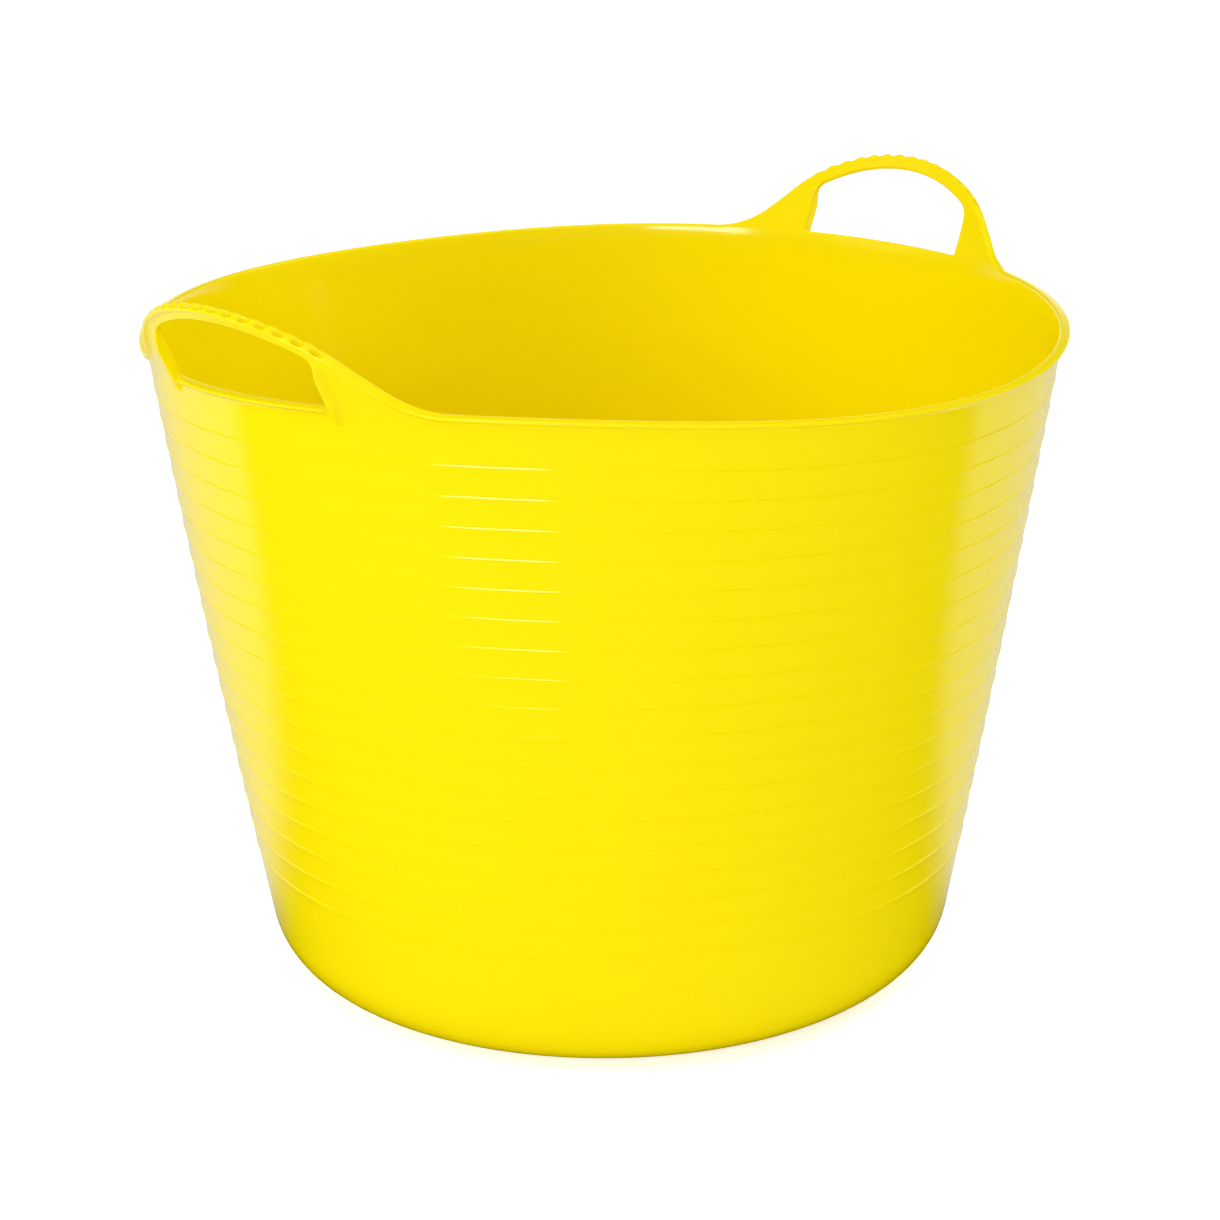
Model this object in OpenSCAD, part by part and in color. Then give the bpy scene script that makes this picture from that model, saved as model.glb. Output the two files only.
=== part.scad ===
// Flexible mixing tub for mortar and plaster: one soft moulding with a tapering wall,
// a rolled lip and two arched carrying handles that flex on their legs.
// Origin: middle of the base, on the floor. +Z up, the handles stand at +X and -X.
// The moulding is kept as the regions it is drawn in, which meet face to face.

/* [Tub] */
// Outside diameter over the rim lip
rim_d = 450; // [400:2:500]
// Height from the floor to the top of the rim
rim_h = 326; // [240:2:400]
// Diameter at which the wall's outer face would meet the floor
base_d = 336; // [280:2:370]
// Thickness of the wall
wall_t = 2.8; // [2:0.1:4]
// Outside radius of the rounded heel
heel_r = 33; // [20:1:44]

/* [Floor] */
// Thickness of the floor
floor_t = 3; // [2:0.1:5]
// Width of the ring the tub stands on, around the recess under the floor
stand_w = 22; // [10:1:60]
// Depth of the recess under the floor
recess_depth = 1.5; // [0.8:0.1:3]

/* [Rim] */
// Thickness of the lip, which also borders the handles
lip_t = 3; // [2:0.1:5]
// How far the lip stands out from the wall or handle
lip_reach = 3; // [1.5:0.1:6]

/* [Rings] */
// Number of fine rings around the wall, as far as they fit above the heel
ring_count = 18; // [1:1:24]
// Height from one ring to the next
ring_pitch = 13.9; // [8:0.1:20]
// Height from the top of the rim down to the first ring
ring_drop = 22.5; // [8:0.5:30]
// Width of a ring where it meets the wall
ring_w = 1.8; // [0.8:0.1:3]
// How far a ring stands out
ring_reach = 0.4; // [0.3:0.1:1.5]

/* [Handles] */
// Height of a handle above the rim
handle_h = 40.5; // [38:0.5:52]
// How far a handle leans out for each unit of height
lean = 0.5; // [0.2:0.05:0.7]
// Thickness of the handle's web
web_t = 3.2; // [2.4:0.1:4.5]
// Height of the bow over the hand opening
bow_w = 6.5; // [6:0.5:10]
// Width of the hand opening
window_w = 101; // [84:1:112]
// Radius of the hand opening's upper corners
window_corner_r = 8; // [4:1:12]
// Radius of the handle's crown
crown_r = 115; // [105:1:150]
// Radius of the shoulders beside the crown
shoulder_r = 60; // [40:1:80]
// Radius of the sweep that runs out into the rim
runout_r = 36; // [28:1:44]
// Width of the bead along each leg
bead_w = 2.4; // [1.5:0.1:4]
// How far a leg's bead stands out
bead_reach = 1.2; // [0.6:0.1:2]

/* [Grip] */
// Number of finger dimples along the crown
dimple_count = 15; // [5:2:15]
// Spacing of the dimples along the crown
dimple_pitch = 8.3; // [7:0.1:9.5]
// Diameter of a dimple
dimple_d = 4.4; // [2:0.1:4.8]
// Depth of a dimple
dimple_depth = 1.1; // [0.4:0.1:1.5]
// Height of the ridges between the dimples
ridge_h = 0.7; // [0.3:0.1:1.2]

/* [Flex line] */
// Height of the line on which a handle flexes, above the rim
flex_h = 8; // [6:0.5:8.5]
// Clearance between a moving handle and its feet
flex_gap = 0.3; // [0.2:0.05:0.6]

/* [Hidden] */
$fn = 180;

overshoot = 0.01;         // how far an outline runs past the level it is cut at
arc_steps = 10;           // points on each arc of an outline
crown_angle = 25;         // turn of the crown on each side of the middle, degrees
shoulder_angle = 41;      // slope of the handle's edge where it runs down to the rim
knuckle_margin = 2;       // room round a leg inside the round cut at the flex line
ridge_r = 2.2;            // radius of the ridges between the dimples

tub_yellow = "#FFE600";
edge_yellow = "#F7DC00";

// Wall
seat_z = rim_h - lip_t;                       // the lip and the handles stand on this level
base_r = base_d / 2;
seat_r = rim_d / 2 - lip_reach - lean * lip_t; // outer face of the wall at that level
wall_slope = (seat_r - base_r) / seat_z;
wall_angle = atan(wall_slope);
function wall_out(z) = base_r + wall_slope * z;
function wall_in(z) = wall_out(z) - wall_t / cos(wall_angle);

// Heel: an arc that meets the floor and the wall without a corner
heel_x = base_r - heel_r * (1 - sin(wall_angle)) / cos(wall_angle);
heel_end = [cos(wall_angle), -sin(wall_angle)];
recess_r = heel_x - stand_w;

// Rings: as many as fit between the first one and the top of the heel
rings_room = rim_h - ring_drop - ring_w - heel_r * (1 - sin(wall_angle));
rings = min(ring_count, 1 + floor(rings_room / ring_pitch));

// Handle outline, seen from the side of the handle: [across, height above the rim]
crown_c = [0, handle_h - crown_r];
shoulder_c = crown_c + (crown_r - shoulder_r) * [sin(crown_angle), cos(crown_angle)];
shoulder_end = shoulder_c + shoulder_r * [sin(shoulder_angle), cos(shoulder_angle)];
slope_len = (shoulder_end[1] - runout_r * (1 - cos(shoulder_angle))) / sin(shoulder_angle);
foot_y = shoulder_end[0] + slope_len * cos(shoulder_angle) + runout_r * sin(shoulder_angle);
runout_c = [foot_y, runout_r];

// Hand opening
window_y = window_w / 2;
window_r = crown_r - bow_w;
window_corner_y = window_y - window_corner_r;
window_corner_h = crown_c[1] + sqrt(pow(window_r - window_corner_r, 2) - pow(window_corner_y, 2));
window_corner_a = atan2(window_corner_h - crown_c[1], window_corner_y);

// Handle faces at a height above the rim, as radii from the tub's axis
function web_out(h) = seat_r + lean * (h + lip_t);
function web_in(h) = web_out(h) - web_t;
function foot_edge_y(h) = foot_y - sqrt(pow(runout_r, 2) - pow(runout_r - h, 2));
function across(r, y) = sqrt(pow(r, 2) - pow(y, 2));

// Flex line: a round cut about an axis along Y, in the middle of both legs
leg_x_out = across(web_out(flex_h), window_y);
leg_x_in = across(web_in(flex_h), foot_edge_y(flex_h));
flex_x = (leg_x_out + leg_x_in) / 2;
flex_z = rim_h + flex_h;
flex_r = (leg_x_out - leg_x_in) / 2 + knuckle_margin;

crown_len = crown_r * crown_angle * PI / 180; // from the middle to where the shoulder begins
dimple_mid = (lip_reach - web_t) / 2;         // middle of the crown's top face
reach_x = rim_d;                              // long enough to pass the handle

function arc(c, r, from, to) =
    [for (i = [0:arc_steps]) let (a = from + (to - from) * i / arc_steps) c + r * [cos(a), sin(a)]];
function mirrored(points) =
    [for (i = [len(points) - 1:-1:0]) [-points[i][0], points[i][1]]];

// Upper edge of the handle on one side, from the crown to the rim, moved in by inset
function edge_half(inset) = concat(
    arc(crown_c, crown_r - inset, 90, 90 - crown_angle),
    arc(shoulder_c, shoulder_r - inset, 90 - crown_angle, 90 - shoulder_angle),
    arc(runout_c, runout_r + inset, 270 - shoulder_angle, 270));

module handle_shape(inset = 0) {
    bottom = -lip_t - overshoot;
    polygon(concat([[-foot_y, bottom]], mirrored(edge_half(inset)), edge_half(inset),
                   [[foot_y, bottom]]));
}

module window_shape() {
    half = concat(arc(crown_c, window_r, 90, window_corner_a),
                  arc([window_corner_y, window_corner_h], window_corner_r, window_corner_a, 0),
                  [[window_y, -lip_t - 1]]);
    polygon(concat(mirrored(half), half));
}

module bead_shape(grow = 0) {
    for (s = [-1, 1]) scale([s, 1])
        translate([window_y - grow, -lip_t - 1])
            square([bead_w + grow, window_corner_h + lip_t + 1]);
}

// A side outline carried outwards along +X, at the height of the rim
module carry() {
    translate([0, 0, rim_h]) rotate([90, 0, 90]) linear_extrude(reach_x) children();
}

// Flared shell above the wall, between two distances from the web's outer face
module flare(from, to, height = handle_h + lip_t + 5) {
    rotate_extrude() polygon([
        [seat_r + from, seat_z], [seat_r + to, seat_z],
        [seat_r + to + lean * height, seat_z + height],
        [seat_r + from + lean * height, seat_z + height]]);
}

module place(side) {
    mirror([side < 0 ? 1 : 0, 0, 0]) children();
}

// An outline in the X-Z plane, carried along Y past both legs
module across_legs() {
    rotate([90, 0, 0]) linear_extrude(4 * foot_y, center = true) children();
}

// The side of the flex line that moves, and the side that stays with the tub
module keep_moving() {
    intersection() {
        children();
        across_legs() difference() {
            translate([0, flex_z]) square([reach_x, 2 * handle_h]);
            translate([flex_x, flex_z]) circle(flex_r + flex_gap);
        }
    }
}

module keep_fixed() {
    intersection() {
        children();
        across_legs() union() {
            translate([0, seat_z - handle_h]) square([reach_x, flex_z - seat_z + handle_h]);
            translate([flex_x, flex_z]) circle(flex_r);
        }
    }
}

// Grip positions: the arc's centre, radius and turn from upright at a distance along the
// upper edge from the handle's middle, on the crown and then on the shoulder
function on_crown(s) = abs(s) <= crown_len;
function grip_c(s) = on_crown(s) ? crown_c : [sign(s) * shoulder_c[0], shoulder_c[1]];
function grip_r(s) = on_crown(s) ? crown_r : shoulder_r;
function grip_turn(s) = on_crown(s) ? s / crown_r * 180 / PI
    : sign(s) * (crown_angle + (abs(s) - crown_len) / shoulder_r * 180 / PI);

module dimples() {
    for (i = [0:dimple_count - 1]) {
        s = (i - (dimple_count - 1) / 2) * dimple_pitch;
        a = grip_turn(s);
        spot = grip_c(s) + grip_r(s) * [sin(a), cos(a)];
        translate([across(web_out(spot[1]) + dimple_mid, spot[0]), spot[0], rim_h + spot[1]])
            rotate([-a, 0, 0]) translate([0, 0, -dimple_depth])
                cylinder(h = 3 * dimple_depth, d = dimple_d);
    }
}

module floor_disc() {
    color(tub_yellow) translate([0, 0, recess_depth]) cylinder(h = floor_t, r = recess_r);
}

module standing_ring() {
    color(tub_yellow) rotate_extrude() polygon([
        [recess_r, recess_depth], [recess_r + recess_depth, 0], [heel_x, 0], [heel_x, wall_t],
        [recess_r + recess_depth + floor_t, wall_t], [recess_r, recess_depth + floor_t]]);
}

module heel() {
    far = 2 * heel_r;
    color(tub_yellow) rotate_extrude() translate([heel_x, heel_r]) intersection() {
        difference() { circle(heel_r); circle(heel_r - wall_t); }
        polygon([[0, 0], [0, -far], [far, -far], far * heel_end]);
    }
}

module wall() {
    c = [heel_x, heel_r];
    color(tub_yellow) rotate_extrude() polygon([
        c + (heel_r - wall_t) * heel_end, c + heel_r * heel_end,
        [seat_r, seat_z], [wall_in(seat_z), seat_z]]);
}

module wall_rings() {
    top_w = ring_w / 3;
    color(edge_yellow) for (i = [0:rings - 1]) {
        z = rim_h - ring_drop - i * ring_pitch;
        rotate_extrude() polygon([
            [wall_out(z - ring_w / 2), z - ring_w / 2],
            [wall_out(z - top_w / 2) + ring_reach, z - top_w / 2],
            [wall_out(z + top_w / 2) + ring_reach, z + top_w / 2],
            [wall_out(z + ring_w / 2), z + ring_w / 2]]);
    }
}

// The lip's section, all the way round
module lip_ring() {
    flare(-web_t, lip_reach, lip_t);
}

module rim_lip(end) {
    color(edge_yellow) intersection() {
        lip_ring();
        translate([-reach_x, end > 0 ? foot_y : -foot_y - reach_x, seat_z - 1])
            cube([2 * reach_x, reach_x, lip_t + 2]);
    }
}

module sill(side) {
    color(edge_yellow) place(side) intersection() {
        lip_ring();
        translate([0, -window_y, seat_z - 1]) cube([reach_x, window_w, lip_t + 2]);
    }
}

// Foot of one leg: web, border and bead in one, up to the flex line
module foot(side, end) {
    color(tub_yellow) place(side) keep_fixed() intersection() {
        difference() {
            intersection() {
                flare(-web_t, lip_reach);
                carry() difference() { handle_shape(); window_shape(); }
            }
            intersection() {
                flare(0, lip_reach + 1);
                carry() difference() { handle_shape(lip_t); bead_shape(); }
            }
            intersection() {
                flare(bead_reach, lip_reach + 1);
                carry() intersection() { handle_shape(lip_t); bead_shape(); }
            }
        }
        translate([0, end > 0 ? 0 : -reach_x, 0]) cube(reach_x);
    }
}

module bow(side) {
    color(tub_yellow) place(side) difference() {
        keep_moving() intersection() {
            flare(-web_t, 0);
            carry() difference() { handle_shape(); window_shape(); }
        }
        dimples();
    }
}

module grip(side) {
    color(edge_yellow) place(side) difference() {
        keep_moving() intersection() {
            flare(0, lip_reach);
            carry() difference() { handle_shape(); handle_shape(lip_t); }
        }
        dimples();
    }
}

module grip_ridges(side) {
    color(edge_yellow) place(side) intersection() {
        flare(-web_t, lip_reach);
        carry() difference() {
            for (i = [0:dimple_count]) {
                s = (i - dimple_count / 2) * dimple_pitch;
                translate(grip_c(s)) rotate(-grip_turn(s))
                    translate([0, grip_r(s) - ridge_r + ridge_h]) circle(ridge_r);
            }
            handle_shape();
        }
    }
}

module leg_beads(side) {
    color(edge_yellow) place(side) keep_moving() intersection() {
        flare(0, bead_reach);
        carry() intersection() { handle_shape(lip_t); bead_shape(); }
    }
}

floor_disc();
standing_ring();
heel();
wall();
wall_rings();
rim_lip(-1);  // rim_lip_front
rim_lip(1);  // rim_lip_back
sill(-1);  // left_sill
foot(-1, -1);  // left_foot_front
foot(-1, 1);  // left_foot_back
bow(-1);  // left_bow
grip(-1);  // left_grip
grip_ridges(-1);  // left_grip_ridges
leg_beads(-1);  // left_leg_beads
sill(1);  // right_sill
foot(1, -1);  // right_foot_front
foot(1, 1);  // right_foot_back
bow(1);  // right_bow
grip(1);  // right_grip
grip_ridges(1);  // right_grip_ridges
leg_beads(1);  // right_leg_beads
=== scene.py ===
"""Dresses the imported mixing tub: one soft moulding with fine rings and two flexing handles.

The moulding is drawn as a single skin, so that its surfaces run into each other without a
seam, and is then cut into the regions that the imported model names. Builders work in
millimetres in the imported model's frame, and lengths turn to metres when a mesh is made.
"""

import logging
import math
from dataclasses import dataclass
from enum import Enum
from typing import Iterable, Iterator, Sequence, TypeVar

import bpy
import numpy as np
from mathutils import Matrix, Vector

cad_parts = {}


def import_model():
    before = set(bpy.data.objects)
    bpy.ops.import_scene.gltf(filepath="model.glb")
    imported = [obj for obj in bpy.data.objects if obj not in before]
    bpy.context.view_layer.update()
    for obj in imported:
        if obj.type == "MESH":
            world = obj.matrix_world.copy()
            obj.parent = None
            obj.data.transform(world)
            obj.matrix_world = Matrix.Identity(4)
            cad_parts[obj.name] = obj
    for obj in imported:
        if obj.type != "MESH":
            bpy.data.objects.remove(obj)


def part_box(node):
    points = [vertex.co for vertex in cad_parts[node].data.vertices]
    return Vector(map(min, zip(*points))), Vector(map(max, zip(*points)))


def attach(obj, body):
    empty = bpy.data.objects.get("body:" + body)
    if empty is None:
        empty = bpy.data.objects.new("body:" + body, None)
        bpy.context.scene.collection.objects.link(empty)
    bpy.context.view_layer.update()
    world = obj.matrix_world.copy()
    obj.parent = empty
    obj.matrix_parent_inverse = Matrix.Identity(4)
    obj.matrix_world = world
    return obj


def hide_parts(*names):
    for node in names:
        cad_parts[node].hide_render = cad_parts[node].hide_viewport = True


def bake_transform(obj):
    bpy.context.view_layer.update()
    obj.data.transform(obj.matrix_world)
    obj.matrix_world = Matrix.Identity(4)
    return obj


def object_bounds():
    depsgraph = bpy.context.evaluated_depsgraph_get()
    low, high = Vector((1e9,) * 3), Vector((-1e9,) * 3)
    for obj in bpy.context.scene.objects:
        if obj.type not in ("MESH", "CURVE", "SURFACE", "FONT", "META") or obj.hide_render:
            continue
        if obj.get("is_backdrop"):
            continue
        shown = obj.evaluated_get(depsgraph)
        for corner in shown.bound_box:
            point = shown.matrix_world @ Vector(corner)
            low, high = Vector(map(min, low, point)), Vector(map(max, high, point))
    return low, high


LOG = logging.getLogger("mixing_tub")
MM = 0.001

Point = tuple[float, float, float]
Chart = tuple[float, float, float]  # across the handle, height above the rim, out from the web
Value = TypeVar("Value", float, np.ndarray)


def smooth(t: float) -> float:
    """Turns 0 to 1 into an even S, flat at both ends."""
    t = min(1.0, max(0.0, t))
    return t * t * (3 - 2 * t)


def mix(a: Value, b: Value, t: float) -> Value:
    """Goes from a to b as t goes from 0 to 1."""
    return a + (b - a) * t


def around(angle: float, r: float, z: float) -> Point:
    """Puts a radius and a height at an angle around the tub's axis."""
    return (r * math.cos(angle), r * math.sin(angle), z)


def linear_colour(hex_code: str) -> tuple[float, float, float, float]:
    """Turns an sRGB hex colour into the linear values that shaders take.

    Args:
        hex_code: Six hex digits, with or without a leading hash.

    Returns:
        Linear red, green and blue, and an alpha of 1.
    """
    digits = hex_code.lstrip("#")
    channels = [int(digits[i:i + 2], 16) / 255 for i in (0, 2, 4)]
    linear = [c / 12.92 if c <= 0.04045 else ((c + 0.055) / 1.055) ** 2.4 for c in channels]
    return (linear[0], linear[1], linear[2], 1.0)


# ---------------------------------------------------------------- the moulding's form


@dataclass
class TubForm:
    """Sizes of the tub in millimetres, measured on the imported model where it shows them.

    Attributes:
        rim_z: Height of the rim's top.
        seat_z: Height at which the lip begins.
        rim_r: Radius over the lip.
        window_y: Half the width of the hand opening.
        foot_y: Half the width of a handle where it runs out into the rim.
        crown_h: Height of a handle above the rim.
        heel_z: Height at which the heel's arc meets the wall.
        stand_r: Radius at which the standing ring meets the heel.
        heel_r: Radius of the heel's arc.
        wall_t: Thickness of the wall.
        web_t: Thickness of the handles' webs.
        lip_reach: How far the lip stands out from the web.
        lean: How far a handle goes out for each millimetre of height.
        floor_t: Thickness of the floor.
        stand_w: Width of the standing ring and the step beside it.
        recess_depth: Depth of the recess inside the standing ring.
        flare_half: Half the height over which the wall turns into the handle.
        rim_cant: How far the lip tips with the web's lean at the rim, from 0 to 1.
        crown_cant: The same on a handle's crown.
        cant_h: Height above the rim at which it is reached.
    """

    rim_z: float
    seat_z: float
    rim_r: float
    window_y: float
    foot_y: float
    crown_h: float
    heel_z: float
    stand_r: float
    heel_r: float = 33.0
    wall_t: float = 2.8
    web_t: float = 3.2
    lip_reach: float = 3.0
    lean: float = 0.5
    floor_t: float = 3.0
    stand_w: float = 22.0
    recess_depth: float = 1.5
    flare_half: float = 10.0
    rim_cant: float = 0.5
    crown_cant: float = 0.85
    cant_h: float = 15.0

    @classmethod
    def measured(cls) -> "TubForm":
        """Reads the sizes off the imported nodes."""
        lip_low, lip_high = (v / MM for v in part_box("rim_lip_front"))
        sill_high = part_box("right_sill")[1] / MM
        foot_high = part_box("right_foot_back")[1] / MM
        grip_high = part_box("right_grip")[1] / MM
        wall_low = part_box("wall")[0] / MM
        stand_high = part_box("standing_ring")[1] / MM
        return cls(rim_z=lip_high.z, seat_z=lip_low.z, rim_r=-lip_low.y, window_y=sill_high.y,
                   foot_y=foot_high.y, crown_h=grip_high.z - lip_high.z, heel_z=wall_low.z,
                   stand_r=stand_high.x)

    @property
    def lip_t(self) -> float:
        """Thickness of the lip."""
        return self.rim_z - self.seat_z

    @property
    def seat_r(self) -> float:
        """Radius of the wall's outer face where the lip begins."""
        return self.rim_r - self.lip_reach - self.lean * self.lip_t

    @property
    def heel_tilt(self) -> float:
        """Angle of the wall from upright, which ends the heel's arc."""
        return math.asin(1 - self.heel_z / self.heel_r) if self.heel_z < self.heel_r else 0.0

    @property
    def wall_slope(self) -> float:
        """How far the wall goes out for each millimetre of height."""
        low_r = self.stand_r + self.heel_r * math.cos(self.heel_tilt)
        return (self.seat_r - low_r) / (self.seat_z - self.heel_z)

    def wall_out(self, z: float) -> float:
        """Radius of the wall's outer face at a height."""
        return self.seat_r + self.wall_slope * (z - self.seat_z)

    def web_out(self, h: float) -> float:
        """Radius of the handle's outer face at a height above the rim.

        The wall's slope turns into the handle's lean along a soft curve about the seat.
        """
        k = h + self.lip_t
        half = self.flare_half
        if k <= -half:
            return self.seat_r + self.wall_slope * k
        if k >= half:
            return self.seat_r + self.lean * k
        t = (k + half) / (2 * half)
        turned = 2 * half * (t ** 3 - 0.5 * t ** 4)
        return self.seat_r + self.wall_slope * k + (self.lean - self.wall_slope) * turned

    def web_lean(self, h: float) -> float:
        """Angle of the web from upright at a height above the rim."""
        return math.atan(self.web_out(h + 0.5) - self.web_out(h - 0.5))

    def offset(self, h: float, out: float) -> tuple[float, float]:
        """Radius and height of a point off the web's outer face, canted as the lip is."""
        lean = self.web_lean(h) * mix(self.rim_cant, self.crown_cant, smooth(h / self.cant_h))
        return self.web_out(h) + out * math.cos(lean), self.rim_z + h - out * math.sin(lean)

    def place(self, at: Chart) -> Point:
        """Puts a point of a handle's chart in space, on the +X side."""
        y, h, out = at
        r, z = self.offset(h, out)
        return (math.sqrt(r * r - y * y), y, z)


@dataclass(frozen=True)
class Wave:
    """One even wave around the tub: its count, size, and the direction of a crest in degrees."""

    count: int
    size: float
    crest: float

    def __call__(self, angle: np.ndarray) -> np.ndarray:
        """Height of the wave at each angle."""
        return self.size * np.cos(self.count * (angle - math.radians(self.crest)))


@dataclass(frozen=True)
class SetInUse:
    """How a soft tub of this make stands: its mouth slightly oval, its rim not quite level.

    Attributes:
        oval: Waves of the rim's radius, in millimetres.
        level: Waves of the rim's height, in millimetres.
        turn: Waves of the angle by which the rim has shifted along itself, in degrees.
        belly: How far the wall bulges at half height, in millimetres.
        floor_r: Radius inside which the bulge dies away, so that the floor stays put.
        left_lean: How much further out the left handle leans than it was moulded, in degrees.
        right_lean: The same for the right handle.
        flex_r: Distance of the handles' bending lines from the tub's axis, in millimetres.
        flex_h: Height of those lines above the rim.
        flex_reach: Height above the rim at which the added lean is full.
    """

    oval: tuple[Wave, ...] = (Wave(1, 6.0, -136), Wave(2, 1.1, -68), Wave(3, 0.3, 46),
                               Wave(4, 3.4, 0))
    level: tuple[Wave, ...] = (Wave(0, 1.0, 0), Wave(1, 3.4, 43), Wave(2, 2.3, 11),
                               Wave(3, 0.7, -40), Wave(4, 1.3, 37))
    turn: tuple[Wave, ...] = (Wave(0, -1.2, 0), Wave(1, -0.6, 0))
    belly: float = 1.6
    floor_r: float = 120.0
    left_lean: float = -1.3
    right_lean: float = -7.1
    flex_r: float = 214.2
    flex_h: float = 8.0
    flex_reach: float = 22.0

    def leaned(self, points: np.ndarray, rim_z: float) -> np.ndarray:
        """Leans each handle in or out from its moulded slope."""
        x, y, z = points.T
        share = np.clip((z - rim_z) / self.flex_reach, 0, 1)
        lean = np.where(x > 0, self.right_lean, self.left_lean)
        angle = np.radians(lean) * share * share * (3 - 2 * share)
        side, out, up = np.sign(x), np.abs(x) - self.flex_r, z - rim_z - self.flex_h
        out, up = out * np.cos(angle) + up * np.sin(angle), up * np.cos(angle) - out * np.sin(angle)
        leaned = np.stack([side * (self.flex_r + out), y, rim_z + self.flex_h + up], axis=1)
        return np.where(z[:, None] > rim_z, leaned, points)

    def settle(self, points: np.ndarray, rim_z: float) -> np.ndarray:
        """Moves the true form's points to where the soft tub has them.

        Args:
            points: One row of x, y, z for each point, in millimetres.
            rim_z: Height of the rim, up to which the change grows.

        Returns:
            The moved points.
        """
        x, y, z = self.leaned(points, rim_z).T
        angle, r = np.arctan2(y, x), np.hypot(x, y)
        t = np.clip(z / rim_z, 0, 1)
        bulge = self.belly * 4 * t * (1 - t)
        r = r + bulge * np.clip(r / self.floor_r, 0, 1) ** 4
        r = r + t ** 4 * sum(w(angle) for w in self.oval)
        z = z + t ** 2 * sum(w(angle) for w in self.level)
        angle = angle + t ** 4 * np.radians(sum(w(angle) for w in self.turn))
        return np.stack([r * np.cos(angle), r * np.sin(angle), z], axis=1)


@dataclass
class EdgeLine:
    """The upper edge of a handle from its middle to the rim: crown, shoulder, slope, run-out.

    Attributes:
        form: The tub's sizes.
        crown_r: Radius of the crown's arc.
        shoulder_r: Radius of the shoulder's arc.
        runout_r: Radius of the hollow arc that ends in the rim.
        crown_angle: Slope at which the crown ends.
        shoulder_angle: Slope at which the shoulder ends and which the straight stretch keeps.
    """

    form: TubForm
    crown_r: float = 115.0
    shoulder_r: float = 60.0
    runout_r: float = 36.0
    crown_angle: float = math.radians(25)
    shoulder_angle: float = math.radians(41)

    def __post_init__(self) -> None:
        """Works out the arcs' centres and lengths."""
        a, b = self.crown_angle, self.shoulder_angle
        self.crown_c = np.array([0.0, self.form.crown_h - self.crown_r])
        self.shoulder_c = self.crown_c + (self.crown_r - self.shoulder_r) * self.up(a)
        end = self.shoulder_c + self.shoulder_r * self.up(b)
        self.slope_len = (end[1] - self.runout_r * (1 - math.cos(b))) / math.sin(b)
        self.foot = end[0] + self.slope_len * math.cos(b) + self.runout_r * math.sin(b)
        self.slope_start = end
        self.lengths = (self.crown_r * a, self.shoulder_r * (b - a), self.slope_len,
                        self.runout_r * b)

    @staticmethod
    def up(angle: float) -> np.ndarray:
        """Unit direction that leans outwards by an angle from upright."""
        return np.array([math.sin(angle), math.cos(angle)])

    def at(self, s: float) -> tuple[np.ndarray, np.ndarray]:
        """Point and outward normal at a distance along the edge from the middle.

        Args:
            s: Distance along the edge; below 0 it is on the other side.

        Returns:
            The chart point and the unit normal.
        """
        side = -1.0 if s < 0 else 1.0
        left = abs(s)
        crown, shoulder, slope, runout = self.lengths
        if left <= crown:
            n = self.up(left / self.crown_r)
            p = self.crown_c + self.crown_r * n
        elif left <= crown + shoulder:
            n = self.up(self.crown_angle + (left - crown) / self.shoulder_r)
            p = self.shoulder_c + self.shoulder_r * n
        elif left <= crown + shoulder + slope:
            n = self.up(self.shoulder_angle)
            along = left - crown - shoulder
            p = self.slope_start + along * np.array([n[1], -n[0]])
        elif left <= crown + shoulder + slope + runout:
            n = self.up(self.shoulder_angle - (left - crown - shoulder - slope) / self.runout_r)
            p = np.array([self.foot, self.runout_r]) - self.runout_r * n
        else:
            n = self.up(0.0)
            p = np.array([self.foot + left - sum(self.lengths), 0.0])
        flip = np.array([side, 1.0])
        return p * flip, n * flip

    def inside(self, s: float, depth: float) -> np.ndarray:
        """Point at a depth below the edge."""
        p, n = self.at(s)
        return p - n * depth


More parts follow.
